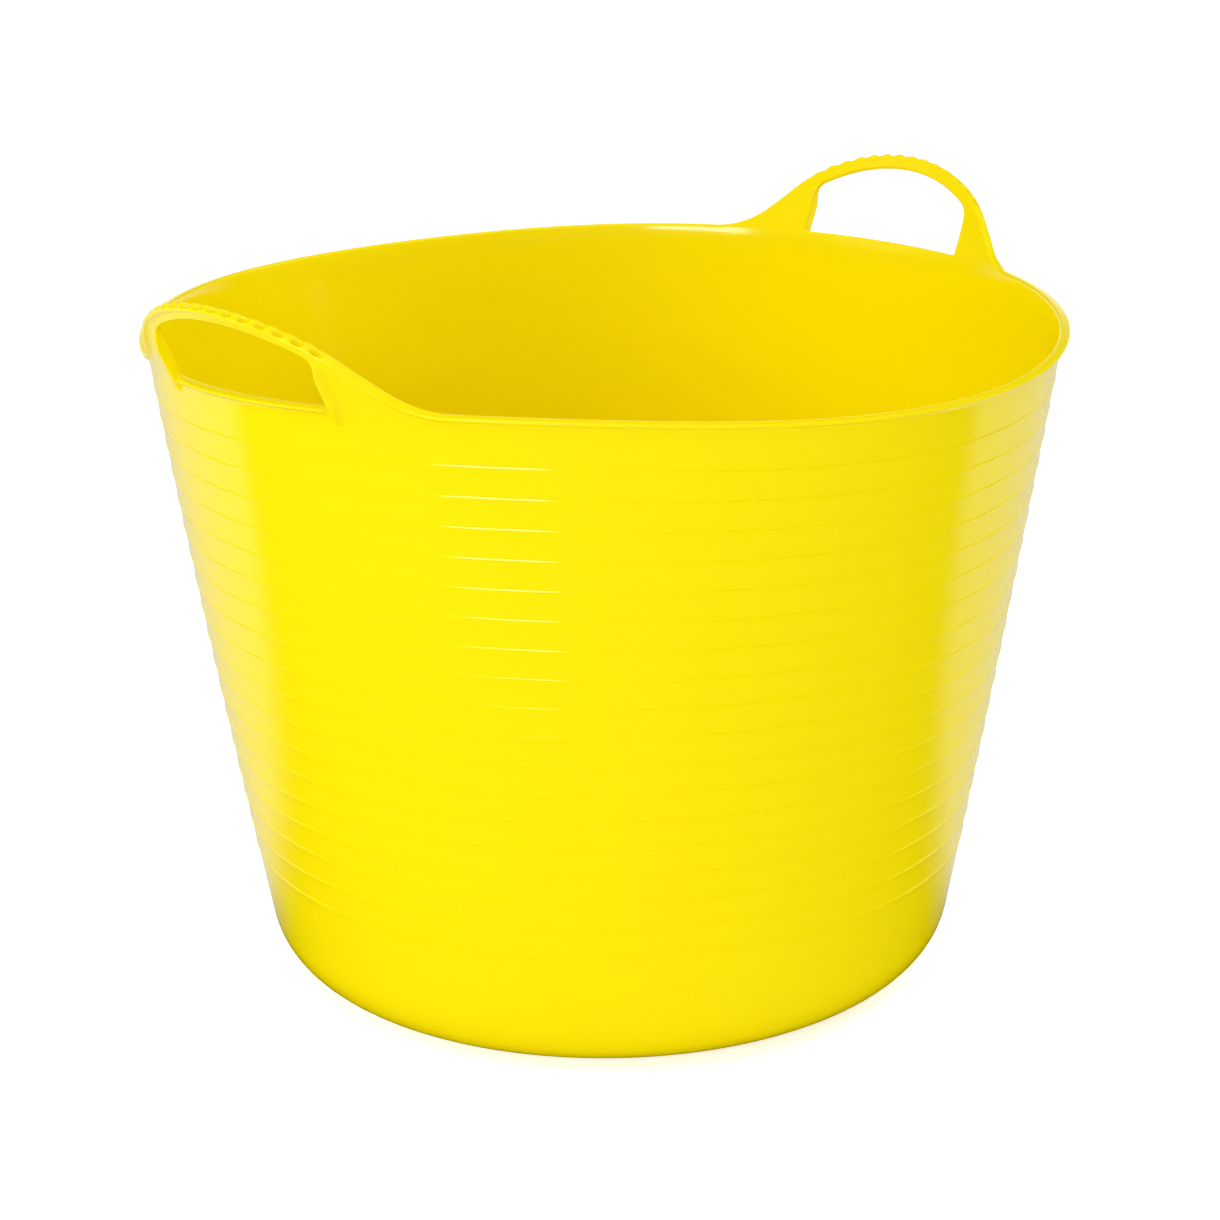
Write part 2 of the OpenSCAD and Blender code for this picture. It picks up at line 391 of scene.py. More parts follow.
@dataclass
class HandOpening:
    """Outline of the opening under a handle, and its rounded edge through the web.

    Attributes:
        form: The tub's sizes.
        edge: The handle's upper edge, which the opening's top follows.
        bow_w: Width of the bow over the opening.
        corner_r: Radius of the opening's upper corners.
        edge_r: Radius of the rounded edge.
        corner_steps: Faces round each half of that edge.
    """

    form: TubForm
    edge: EdgeLine
    bow_w: float = 6.5
    corner_r: float = 8.0
    edge_r: float = 1.2
    corner_steps: int = 4

    def __post_init__(self) -> None:
        """Works out the top arc and the corners."""
        self.top_r = self.edge.crown_r - self.bow_w
        self.corner_y = self.form.window_y - self.corner_r
        rise = math.sqrt((self.top_r - self.corner_r) ** 2 - self.corner_y ** 2)
        self.corner_h = self.edge.crown_c[1] + rise
        self.corner_a = math.atan2(rise, self.corner_y)

    def top(self, turn: float) -> tuple[np.ndarray, np.ndarray]:
        """Point on the top arc at an angle from upright, and the direction into the web."""
        into = self.edge.up(turn)
        return self.edge.crown_c + self.top_r * into, into

    def corner(self, angle: float) -> tuple[np.ndarray, np.ndarray]:
        """Point on the upper corner at +Y at an angle from level, and the way into the web."""
        into = np.array([math.cos(angle), math.sin(angle)])
        return np.array([self.corner_y, self.corner_h]) + self.corner_r * into, into

    def section(self, out_from: float, out_to: float) -> list[tuple[float, float]]:
        """Rounded edge from the outer face to the inner one.

        Args:
            out_from: Outward offset of the outer face.
            out_to: Outward offset of the inner face.

        Returns:
            Pairs of outward offset and depth into the web, the two faces included.
        """
        r, n = self.edge_r, self.corner_steps
        turns = [math.pi / 2 * i / n for i in range(n + 1)]
        first = [(out_from - r * (1 - math.cos(a)), r * (1 - math.sin(a))) for a in turns]
        last = [(out_to + r * (1 - math.sin(a)), r * (1 - math.cos(a))) for a in turns]
        middle = ((first[-1][0] + last[0][0]) / 2, 0.0)
        return first + [middle] + last


@dataclass
class LipSection:
    """Cross-section of the lip, which also borders the handles.

    Depths run down from the edge line and offsets run out from the web's outer face.

    Attributes:
        form: The tub's sizes.
        thickness: Depth of the lip's flank.
        reach: How far the lip stands out.
        gusset: Depth of the fillet under the lip.
        gusset_steps: Faces of that fillet.
        gusset_curve: How hollow it is, 1 being straight.
        corner_r: Radius of the outer corners.
        inner_r: Radius of the inner corner.
        steps: Faces round each upper corner.
        low_steps: Faces round the corner above the gusset.
        top_steps: Faces across the flat top.
    """

    form: TubForm
    thickness: float = 2.0
    reach: float = 2.0
    gusset: float = 1.6
    gusset_steps: int = 4
    gusset_curve: float = 1.8
    corner_r: float = 0.9
    inner_r: float = 1.3
    steps: int = 4
    low_steps: int = 3
    top_steps: int = 11

    @staticmethod
    def arc(depth: float, out: float, r: float, start: float, end: float,
            steps: int) -> list[tuple[float, float]]:
        """Points of an arc about (depth, out), with angles from straight down to outwards."""
        angles = [start + (end - start) * i / steps for i in range(steps + 1)]
        return [(depth + r * math.cos(a), out + r * math.sin(a)) for a in angles]

    def outside(self, reach: float) -> list[tuple[float, float]]:
        """From the web's face round the lip's foot to the top of its outer face."""
        t, r = self.thickness, min(self.corner_r, reach / 2)
        shares = [k / self.gusset_steps for k in range(self.gusset_steps)]
        root = [(t + self.gusset * (1 - k), (reach - r) * k ** self.gusset_curve) for k in shares]
        corner = self.arc(t - r, reach - r, r, 0.0, math.pi / 2, self.low_steps)
        return root + corner + [(self.corner_r, reach)]

    def over(self) -> list[tuple[float, float]]:
        """From the top of the outer face over the lip to the inner face."""
        r, q, reach, inner = self.corner_r, self.inner_r, self.reach, -self.form.web_t
        outer = self.arc(r, reach - r, r, math.pi / 2, math.pi, self.steps)
        flat = [(0.0, mix(reach - r, inner + q, i / self.top_steps))
                for i in range(1, self.top_steps)]
        inside = self.arc(q, inner + q, q, math.pi, 3 * math.pi / 2, self.steps)
        return outer[1:] + flat + inside

    def top_share(self, depth: float) -> float:
        """How much of a lift of the top face a point at this depth takes part in."""
        if depth > 1.01 * self.corner_r:
            return 0.0
        return smooth(1 - depth / (1.5 * self.corner_r))


@dataclass
class GripPattern:
    """Finger dimples along the crown and its shoulders, and the ridges between them.

    Attributes:
        count: Number of dimples, the middle one on the crown's top.
        pitch: Distance from one dimple to the next along the edge.
        length: A dimple's length along the edge.
        width: Its width across the top face.
        depth: Its depth.
        bowl: How full its bowl is, less being fuller.
        middle: Offset of the dimples' middles from the web's outer face.
        ridge_h: Height of the ridges.
        ridge_peak: How narrow their tops are, more being narrower.
        ridge_from: Distance from a dimple's middle at which a ridge begins, in pitches.
        outer_edge: Offset at which the ridges start to rise on the outer side.
        outer_rise: Width over which they rise.
        outer_share: Share of their height that reaches the outer edge.
        end_room: Length of the pattern past the middles of its last dimples, in pitches.
        end_fade: Length over which the ridges die away at each end.
    """

    count: int = 15
    pitch: float = 8.3
    length: float = 5.4
    width: float = 4.0
    depth: float = 3.2
    bowl: float = 0.6
    middle: float = -0.5
    ridge_h: float = 0.7
    ridge_peak: float = 1.6
    ridge_from: float = 0.33
    outer_edge: float = 1.6
    outer_rise: float = 3.2
    outer_share: float = 0.12
    end_room: float = 0.95
    end_fade: float = 18.0

    @property
    def reach(self) -> float:
        """Distance along the edge from the middle to the pattern's end."""
        return ((self.count - 1) / 2 + self.end_room) * self.pitch

    def on_ridge(self, s: float) -> bool:
        """Whether a place along the edge, on the +Y side, lies on a ridge."""
        phase = s / self.pitch
        return abs(phase - round(phase)) > self.ridge_from and s < self.reach

    def lift(self, s: float, out: float) -> float:
        """Height of the top face at a place along the edge and across it."""
        if abs(s) > self.reach:
            return 0.0
        phase = s / self.pitch
        along = (phase - round(phase)) * self.pitch / (self.length / 2)
        q = math.hypot(along, (out - self.middle) / (self.width / 2))
        dimple = 0.0
        if abs(round(phase)) <= self.count // 2 and q < 1:
            dimple = self.depth * (0.5 + 0.5 * math.cos(math.pi * q)) ** self.bowl
        wave = (0.5 - 0.5 * math.cos(2 * math.pi * phase)) ** self.ridge_peak
        across = mix(self.outer_share, 1.0, smooth((self.outer_edge - out) / self.outer_rise))
        ends = smooth((self.reach - abs(s)) / self.end_fade)
        return self.ridge_h * wave * across * ends - dimple


@dataclass
class LegBead:
    """Raised bead along each side of the hand opening, with a rounded lower end.

    Attributes:
        form: The tub's sizes.
        gap: Distance from the opening to the bead's middle.
        width: The bead's width.
        reach: How far it stands out.
        fullness: How round its section is, less being squarer.
        low_h: Height of its lower end, from the rim.
        end_len: Length of its rounded end.
        high_h: Height at which it has faded away.
        fade: Length of that fade.
    """

    form: TubForm
    gap: float = 1.7
    width: float = 4.4
    reach: float = 2.5
    fullness: float = 0.8
    low_h: float = -6.5
    end_len: float = 1.8
    high_h: float = 23.0
    fade: float = 10.0

    def lift(self, y: float, h: float) -> float:
        """Height of the bead over the web at a chart point."""
        across = (abs(y) - self.form.window_y - self.gap) / (self.width / 2)
        below = max(0.0, self.low_h + self.end_len - h) / self.end_len
        q = across * across + below * below
        if q >= 1:
            return 0.0
        return self.reach * (1 - q) ** self.fullness * smooth((self.high_h - h) / self.fade)


class Skin:
    """Points and tagged faces of the whole moulding, before it is cut into pieces.

    A face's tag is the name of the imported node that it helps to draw.
    """

    WELD_PER_MM = 2000
    WELD_SHIFT = 0.37  # keeps round sizes away from the limits between two cells

    def __init__(self) -> None:
        """Starts an empty skin."""
        self.points: list[Point] = []
        self.faces: list[tuple[int, ...]] = []
        self.tags: list[str] = []

    def add(self, points: Iterable[Point]) -> list[int]:
        """Adds points and returns their numbers."""
        start = len(self.points)
        self.points.extend(points)
        return list(range(start, len(self.points)))

    def polar(self, number: int) -> Point:
        """Angle, radius and height of a point."""
        x, y, z = self.points[number]
        return (math.atan2(y, x), math.hypot(x, y), z)

    def face(self, corners: Sequence[int], tag: str) -> None:
        """Adds a face, leaving out corners that repeat."""
        kept = [c for i, c in enumerate(corners) if c != corners[i - 1]]
        if len(kept) > 2:
            self.faces.append(tuple(kept))
            self.tags.append(tag)

    def strip(self, low: Sequence[int], high: Sequence[int], tag: str) -> None:
        """Joins two rows of points that run anticlockwise seen from above.

        Args:
            low: The lower row on an outer face, or the upper one on an inner face.
            high: The other row, with as many points.
            tag: The region of the faces.
        """
        for i in range(len(low) - 1):
            self.face((low[i], low[i + 1], high[i + 1], high[i]), tag)

    def panel(self, here: Sequence[int], beyond: Sequence[int], tags: Sequence[str]) -> None:
        """Joins two columns of points that run from the outside to the inside.

        Args:
            here: The column.
            beyond: The next column, anticlockwise of it, with as many points.
            tags: The region of each face, one fewer than the points.
        """
        for i, tag in enumerate(tags):
            self.face((here[i], beyond[i], beyond[i + 1], here[i + 1]), tag)

    @staticmethod
    def turned_tag(tag: str) -> str:
        """Region that a region falls on after half a turn."""
        tag = tag.replace("right_", "left_").replace("rim_lip_back", "rim_lip_front")
        if "_foot_" not in tag:
            return tag
        stem, end = tag.rsplit("_", 1)
        return f"{stem}_{'back' if end == 'front' else 'front'}"

    def add_other_half(self) -> None:
        """Adds the same skin turned by half a turn, with its regions changed over."""
        n = len(self.points)
        self.points += [(-x, -y, z) for x, y, z in self.points]
        self.faces += [tuple(i + n for i in face) for face in self.faces]
        self.tags += [self.turned_tag(tag) for tag in self.tags]

    def welded(self) -> tuple[np.ndarray, list[tuple[int, ...]], list[str]]:
        """Joins points that fall together, and drops the faces that this closes up.

        Returns:
            The points left, the faces renumbered, and their regions.
        """
        points = np.array(self.points, float)
        cells = np.floor(points * self.WELD_PER_MM + self.WELD_SHIFT).astype(np.int64)
        _, first, number = np.unique(cells, axis=0, return_index=True, return_inverse=True)
        number = number.ravel()
        joined = Skin()
        for face, tag in zip(self.faces, self.tags):
            corners = [int(number[i]) for i in face]
            if len(set(corners)) > 2:
                joined.face(corners, tag)
        return points[first], joined.faces, joined.tags


@dataclass(frozen=True)
class LegColumn:
    """Points of one full column: its rows on the outer face, the border and the inner face."""

    outer: list[int]
    border: list[int]
    inner: list[int]

    @property
    def rows(self) -> list[int]:
        """All rows, from the outer foot over the edge to the inner foot."""
        return self.outer + self.border + self.inner[::-1]


@dataclass(frozen=True)
class ZoneFoot:
    """Lowest points of the top zone on one face of the wall.

    Attributes:
        handle: The points under the handle, from -Y to +Y.
        rim: The points on from there, under the plain rim.
        inner: Whether they are on the face towards the tub's axis.
    """

    handle: list[int]
    rim: list[int]
    inner: bool


Legs = dict[float, list[LegColumn]]  # by side, 1 for +Y and -1 for -Y, from the opening outwards
Sills = list[tuple[list[int], list[int]]]  # outer and inner rows, from -Y to +Y


@dataclass
class TopZone:
    """The band from just above the first ring to the edge: lip, sills, legs and bows.

    It is built for the +X handle and the rim behind it, in columns that stand side by side. A
    column under the hand opening is a sill and one over it is a bow, and any other column runs
    from the outer foot over the edge to the inner foot.

    Attributes:
        form: The tub's sizes.
        edge: The handle's upper edge.
        opening: The opening under it.
        lip: Section of the lip and the handle's border.
        grip: The dimples and ridges along the top.
        bead: The beads beside the opening.
        skin: The skin that takes the points and faces.
        base_h: Height of the zone's foot, from the rim.
        low_rows: Rows from the foot to the sill's lip.
        side_rows: Rows beside the opening.
        high_rows: Rows from the opening's top to the border.
        crown_cols: Columns over half the opening, up to its corner.
        corner_cols: Columns over the corner.
        corner_step: Distance between the sill's columns under the corner.
        leg_cols: Columns of a leg.
        rim_cols: Columns of the plain rim.
        bead_cols: Columns of a leg that show its bead.
        flex_h: Height of the line that parts a handle's feet from its bow.
        past_foot: How far the last leg column stands past the end of the edge's run-out.
        even_share: Share of the legs' spacing that is even; the rest grows outwards.
        side_low: Share of a leg column's height at which the rows beside the opening begin.
        side_high: Share at which they end.
        straighten: How soon a leg's rows leave the opening's levels for those shares.
        sill_gap: Distance from the opening's side to the end of the sill's lip.
        sill_reach: How far the sill's lip stands out.
        sill_end: Length of its round end.
        flank_h: Height of the lip's flank, at which the sill's lip meets the beads.
        least_reach: What is left of the sill's lip past its end.
    """

    form: TubForm
    edge: EdgeLine
    opening: HandOpening
    lip: LipSection
    grip: GripPattern
    bead: LegBead
    skin: Skin
    base_h: float = -14.0
    low_rows: int = 5
    side_rows: int = 12
    high_rows: int = 6
    crown_cols: int = 60
    corner_cols: int = 16
    corner_step: float = 0.35
    leg_cols: int = 48
    rim_cols: int = 96
    bead_cols: int = 4
    flex_h: float = 8.0
    past_foot: float = 1.9
    even_share: float = 0.45
    side_low: float = 0.42
    side_high: float = 0.80
    straighten: float = 2.2
    sill_gap: float = 1.6
    sill_reach: float = 2.4
    sill_end: float = 1.5
    flank_h: float = -1.5
    least_reach: float = 0.004

    def __post_init__(self) -> None:
        """Works out the rows and the lengths that the columns share."""
        self.outs: dict[int, float] = {}
        self.section_out = self.lip.outside(self.lip.reach)
        self.section_over = self.lip.over()
        self.top_h = -self.opening.edge_r
        start, steps = -self.section_out[0][0], len(self.section_out)
        self.low_h = [mix(self.base_h, start, i / self.low_rows) for i in range(self.low_rows)]
        self.low_h += [mix(start, self.top_h, i / (steps - 1)) for i in range(steps)]
        self.half = self.crown_cols + self.corner_cols
        self.end_y = self.form.window_y + self.opening.edge_r
        self.crown_turn = math.pi / 2 - self.opening.corner_a
        self.crown_s = self.edge.crown_r * self.crown_turn
        self.corner_s = self.edge.lengths[0] + self.edge.lengths[1]
        self.foot_s = sum(self.edge.lengths) + self.past_foot
        self.n_low = len(self.low_h)
        self.n_side = self.n_low + self.side_rows
        self.n_face = self.n_side + self.high_rows
        self.n_border = len(self.section_out) + len(self.section_over) - 2

    def put(self, rows: list[Chart]) -> list[int]:
        """Adds chart points to the skin, and keeps how far out each one lies."""
        numbers = self.skin.add(self.form.place(at) for at in rows)
        self.outs.update(zip(numbers, (out for _, _, out in rows)))
        return numbers

    def run(self, start: np.ndarray, end: np.ndarray, shares: Iterable[float], side: float,
            inner: bool) -> list[Chart]:
        """Chart points of a face between two places.

        Args:
            start: Distance across the handle and height of the first place.
            end: The same for the other place.
            shares: How far along each point lies, from 0 to 1.
            side: 1 for points at +Y and -1 for the others.
            inner: Whether they lie on the inner face, which has no bead.

        Returns:
            The points.
        """
        rows: list[Chart] = []
        for share in shares:
            y, h = mix(start, end, share).tolist()
            out = -self.form.web_t if inner else self.bead.lift(y, h)
            rows.append((y * side, h, out))
        return rows

    def border(self, s: float) -> list[Chart]:
        """Rows of the lip's section at a place along the edge, from outside to inside."""
        rows: list[Chart] = []
        for depth, out in self.section_out[1:] + self.section_over[:-1]:
            lift = self.grip.lift(s, out) * self.lip.top_share(depth)
            y, h = self.edge.inside(s, depth - lift).tolist()
            rows.append((y, h, out))
        return rows

    def web_tip(self, s: float, inner: bool) -> np.ndarray:
        """Place at which the web's outer or inner face meets the border."""
        return self.edge.inside(s, self.section_over[-1][0] if inner else self.section_out[0][0])

    def sill_y(self, j: int) -> float:
        """Distance across the handle of a sill's column, counted from the middle."""
        even = self.end_y - self.corner_step * self.corner_cols
        if j <= self.crown_cols:
            return even * j / self.crown_cols
        return even + self.corner_step * (j - self.crown_cols)

    def bow_s(self, j: int) -> float:
        """Distance along the edge of a bow's column, counted from the middle."""
        if j <= self.crown_cols:
            return self.crown_s * j / self.crown_cols
        return mix(self.crown_s, self.corner_s, (j - self.crown_cols) / self.corner_cols)

    def mouth(self, j: int) -> tuple[np.ndarray, np.ndarray]:
        """Place on the opening's top under a bow's column, and the direction into the web."""
        if j <= self.crown_cols:
            return self.opening.top(self.crown_turn * j / self.crown_cols)
        share = (j - self.crown_cols) / self.corner_cols
        return self.opening.corner(self.opening.corner_a * (1 - share))

    def sill_reach_at(self, y: float) -> float:
        """How far the sill's lip stands out, which falls to nothing in a round end."""
        t = (abs(y) - (self.form.window_y - self.sill_gap - self.sill_end)) / self.sill_end
        return self.sill_reach * math.sqrt(max(0.0, 1 - t * t)) if t > 0 else self.sill_reach

    def sill_column(self, y: float) -> tuple[list[int], list[int]]:
        """Adds the outer and the inner rows under the opening, each from the foot up."""
        reach = max(self.sill_reach_at(y), self.bead.lift(y, self.flank_h), self.least_reach)
        share = smooth(3 * reach / self.sill_reach)
        lip = self.lip.outside(reach)
        lip[-1] = (self.opening.edge_r, reach)
        outer = [(y, h, self.bead.lift(y, h)) for h in self.low_h[:self.low_rows]]
        for h, (depth, out) in zip(self.low_h[self.low_rows:], lip):
            height = mix(h, -depth, share)
            outer.append((y, height, max(out * share, self.bead.lift(y, height))))
        inner = [(y, h, -self.form.web_t) for h in self.low_h]
        return self.put(outer), self.put(inner)

    def bow_column(self, j: int, side: float) -> list[int]:
        """Adds a column over the opening, from its top over the edge and back to its top."""
        s = self.bow_s(j)
        mouth, into = self.mouth(j)
        low = mouth + into * self.opening.edge_r
        shares = [i / self.high_rows for i in range(self.high_rows + 1)]
        outer = self.run(low, self.web_tip(s, False), shares, side, False)
        inner = self.run(low, self.web_tip(s, True), shares, side, True)
        return self.put(outer + self.border(s * side) + inner[::-1])

    def leg_face(self, y: float, s: float, fade: float, side: float, inner: bool) -> list[int]:
        """Adds one face of a leg's column, from the foot up to the border.

        Args:
            y: Distance across the handle of the column's foot.
            s: Distance along the edge of its tip.
            fade: How far the rows keep the opening's levels, from 1 to 0.
            side: 1 for the leg at +Y and -1 for the other.
            inner: Whether it is the inner face.

        Returns:
            The points.
        """
        base, tip = np.array([y, self.base_h]), self.web_tip(s, inner)
        first = np.array([self.end_y, self.base_h])
        first_tip = self.web_tip(self.corner_s, inner)
        places = []
        for share, h in ((self.side_low, self.top_h), (self.side_high, self.opening.corner_h)):
            pull = np.array([self.end_y, h]) - mix(first, first_tip, share)
            places.append(mix(base, tip, share) + pull * fade)
        low, high = places
        below = [(h - self.base_h) / (self.top_h - self.base_h) for h in self.low_h]
        beside = [i / self.side_rows for i in range(1, self.side_rows + 1)]
        above = [i / self.high_rows for i in range(1, self.high_rows + 1)]
        return self.put(self.run(base, low, below, side, inner)
                        + self.run(low, high, beside, side, inner)
                        + self.run(high, tip, above, side, inner))

    def leg_column(self, u: float, side: float) -> LegColumn:
        """Adds a column of a leg, with u from 0 at the opening to 1 at the plain rim."""
        y = mix(self.end_y, self.form.foot_y + self.past_foot, mix(u * u, u, self.even_share))
        s = mix(self.corner_s, self.foot_s, u)
        fade = max(0.0, 1 - u * self.straighten) ** 2
        outer = self.leg_face(y, s, fade, side, False)
        inner = self.leg_face(y, s, fade, side, True)
        return LegColumn(outer, self.put(self.border(s * side)), inner)

    def split_columns(self, legs: Legs) -> tuple[Sills, list[list[int]]]:
        """Adds the sills and the bows, which end in the legs' first columns.

        Args:
            legs: The legs' columns.

        Returns:
            The sills' and the bows' columns, from -Y to +Y.
        """
        sills: Sills = []
        bows: list[list[int]] = []
        for j in range(-self.half, self.half + 1):
            side = -1.0 if j < 0 else 1.0
            if abs(j) < self.half:
                sills.append(self.sill_column(self.sill_y(abs(j)) * side))
                bows.append(self.bow_column(abs(j), side))
                continue
            leg = legs[side][0]
            sills.append((leg.outer[:self.n_low], leg.inner[:self.n_low]))
            bows.append(leg.outer[self.n_side - 1:] + leg.border
                        + leg.inner[self.n_side - 1:][::-1])
        return sills, bows

    def face_sills(self, sills: Sills) -> None:
        """Joins the sills' columns."""
        tags = ["wall"] * self.low_rows + ["right_sill"] * (self.n_low - 1 - self.low_rows)
        for (outer, inner), (next_outer, next_inner) in zip(sills, sills[1:]):
            self.skin.panel(outer, next_outer, tags)
            self.skin.panel(inner[::-1], next_inner[::-1], tags[::-1])

    def face_bows(self, bows: list[list[int]]) -> None:
        """Joins the bows' columns; the ridges take the inner half of the flat top."""
        web = ["right_bow"] * self.high_rows
        plain = ["right_grip"] * (self.n_border + 1)
        ridge_row = len(self.section_out) + self.lip.steps + self.lip.top_steps // 2
        ridged = plain[:ridge_row] + ["right_grip_ridges"] * (len(plain) - ridge_row)
        for j, (here, beyond) in enumerate(zip(bows, bows[1:]), -self.half):
            s = (self.bow_s(abs(j)) + self.bow_s(abs(j + 1))) / 2
            self.skin.panel(here, beyond, web + (ridged if self.grip.on_ridge(s) else plain) + web)

    @staticmethod
    def foot_tag(side: float) -> str:
        """Region of the foot at +Y or -Y."""
        return "right_foot_front" if side < 0 else "right_foot_back"

    def leg_tag(self, i: int, j: int, side: float, corners: Sequence[int]) -> str:
        """Region of one face of a leg.

        Args:
            i: The face's row.
            j: Its column, from the opening.
            side: 1 for the leg at +Y and -1 for the other.
            corners: Its points.

        Returns:
            The region's name.
        """
        h = sum(self.skin.points[k][2] for k in corners) / len(corners) - self.form.rim_z
        if self.n_face - 1 <= i < self.n_face + self.n_border:
            return "right_grip" if h > self.flex_h else self.foot_tag(side)
        if h < -self.form.lip_t:
            return "wall"
        if h < self.flex_h:
            return self.foot_tag(side)
        return "right_leg_beads" if j < self.bead_cols and i < self.n_side else "right_bow"

    def face_legs(self, legs: Legs) -> None:
        """Joins the columns of both legs."""
        for side, columns in legs.items():
            for j in range(self.leg_cols):
                a, b = columns[j].rows, columns[j + 1].rows
                here, beyond = (b, a) if side < 0 else (a, b)
                tags = [self.leg_tag(i, j, side, (*here[i:i + 2], *beyond[i:i + 2]))
                        for i in range(len(here) - 1)]
                self.skin.panel(here, beyond, tags)

    def rounded(self, first: int, last: int, mouth: np.ndarray, into: np.ndarray) -> list[int]:
        """Adds the opening's rounded edge between a point of each face.

        Args:
            first: The point on the outer face.
            last: The point on the inner face.
            mouth: Place on the opening's outline.
            into: Direction from there into the web.

        Returns:
            The points from the outer face to the inner one.
        """
        ring = self.opening.section(self.outs[first], -self.form.web_t)[1:-1]
        middle = self.put([(*(mouth + into * deep).tolist(), out) for out, deep in ring])
        return [first, *middle, last]

    def rounded_side(self, leg: LegColumn, side: float) -> list[tuple[list[int], str]]:
        """Rounds the opening's side along a leg, upwards at +Y and downwards at -Y.

        Args:
            leg: The leg's first column.
            side: 1 for the leg at +Y and -1 for the other.

        Returns:
            The rounded edge's points at each row, and the region that leads on from there.
        """
        strips: list[tuple[list[int], str]] = []
        rows = range(1, self.side_rows)
        for i in rows if side > 0 else reversed(rows):
            share = i / self.side_rows
            mouth = np.array([side * self.form.window_y, share * self.opening.corner_h])
            into = np.array([side, share - 1])
            k = self.n_low - 1 + i
            under = mix(self.top_h, self.opening.corner_h, share) < self.flex_h
            strips.append((self.rounded(leg.outer[k], leg.inner[k], mouth, into),
                           self.foot_tag(side) if under else "right_leg_beads"))
        return strips

    def round_opening(self, legs: Legs, sills: Sills, bows: list[list[int]]) -> None:
        """Joins the two faces by a rounded edge, all the way round the opening."""
        strips: list[tuple[list[int], str]] = []
        for j, (outer, inner) in enumerate(sills, -self.half):
            across = math.copysign(self.sill_y(abs(j)), j) / self.end_y
            mouth, into = np.array([across * self.form.window_y, 0.0]), np.array([across, -1.0])
            strips.append((self.rounded(outer[-1], inner[-1], mouth, into), "right_sill"))
        strips += self.rounded_side(legs[1.0][0], 1.0)
        for j in range(self.half, -self.half - 1, -1):
            flip = np.array([math.copysign(1, j), 1.0])
            mouth, into = self.mouth(abs(j))
            bow = bows[j + self.half]
            strips.append((self.rounded(bow[0], bow[-1], mouth * flip, into * flip), "right_bow"))
        strips += self.rounded_side(legs[-1.0][0], -1.0)
        for (here, tag), (beyond, _) in zip(strips, strips[1:] + strips[:1]):
            self.skin.panel(here, beyond, [tag] * (len(here) - 1))

    def rim(self, legs: Legs) -> list[list[int]]:
        """Adds the plain rim, from the leg at +Y to the first leg of the other handle."""
        skin = self.skin
        columns = [legs[1.0][-1].rows]
        spots = [skin.polar(k) for k in columns[0]]
        for j in range(1, self.rim_cols):
            columns.append(skin.add(around(mix(a, math.pi - a, j / self.rim_cols), r, z)
                                    for a, r, z in spots))
        ends = [skin.points[k] for k in legs[-1.0][-1].rows]
        columns.append(skin.add((-x, -y, z) for x, y, z in ends))
        plain = ["wall"] * (self.n_face - 2)
        tags = plain + ["rim_lip_back"] * (self.n_border + 3) + plain
        for here, beyond in zip(columns, columns[1:]):
            skin.panel(here, beyond, tags)
        return columns

    def build(self) -> list[ZoneFoot]:
        """Builds the zone.

        Returns:
            Its lowest points, outside and inside.
        """
        legs = {side: [self.leg_column(j / self.leg_cols, side) for j in range(self.leg_cols + 1)]
                for side in (-1.0, 1.0)}
        sills, bows = self.split_columns(legs)
        self.face_sills(sills)
        self.face_bows(bows)
        self.face_legs(legs)
        self.round_opening(legs, sills, bows)
        rim = self.rim(legs)
        feet: list[ZoneFoot] = []
        for inner, end in ((False, 0), (True, -1)):
            handle = [column.rows[end] for column in reversed(legs[-1.0])]
            handle += [sill[int(inner)][0] for sill in sills[1:-1]]
            handle += [column.rows[end] for column in legs[1.0]]
            feet.append(ZoneFoot(handle, [column[end] for column in rim[1:]], inner))
        return feet


@dataclass
class RingBand:
    """The fine rings that stiffen the wall, as one raised section repeated down it.

    Attributes:
        form: The tub's sizes.
        count: Number of rings.
        drop: Depth of the first one below the rim.
        pitch: Distance from one ring to the next.
        reach: How far a ring stands out.
        section: Heights of a ring's section and its offsets as shares of the reach.
        face_h: Height of a row of plain wall between rings.
        last_face_h: The same below the last ring.
    """

    form: TubForm
    count: int = 18
    drop: float = 22.5
    pitch: float = 13.9
    reach: float = 0.4
    section: tuple[tuple[float, float], ...] = (
        (-4.4, 0.0), (-3.2, 0.1), (-1.6, 0.5), (-0.5, 0.92), (0.0, 1.0), (0.18, 0.9),
        (0.4, 0.62), (0.66, 0.28), (0.88, 0.06), (1.06, 0.0))
    face_h: float = 4.5
    last_face_h: float = 5.0

    def rows(self, low_z: float, high_z: float) -> list[tuple[float, float, bool]]:
        """Rows of the outer wall between two heights, from the top down.

        Args:
            low_z: Height at which the wall ends.
            high_z: Height at which it starts.

        Returns:
            The height, the offset, and whether the row below belongs to a ring.
        """
        rows: list[tuple[float, float, bool]] = []
        z_from = high_z
        for i in range(self.count):
            z = self.form.rim_z - self.drop - i * self.pitch
            shape = [(z + dz, out * self.reach) for dz, out in reversed(self.section)]
            plain = max(1, round((z_from - shape[0][0]) / self.face_h))
            rows += [(mix(z_from, shape[0][0], k / plain), 0.0, False) for k in range(plain)]
            rows += [(ring_z, out, True) for ring_z, out in shape[:-1]]
            z_from = shape[-1][0]
        plain = max(1, round((z_from - low_z) / self.last_face_h))
        rows += [(mix(z_from, low_z, k / plain), 0.0, False) for k in range(plain + 1)]
        return rows


Profile = list[tuple[float, float, str]]  # radius, height, and the region that leads on


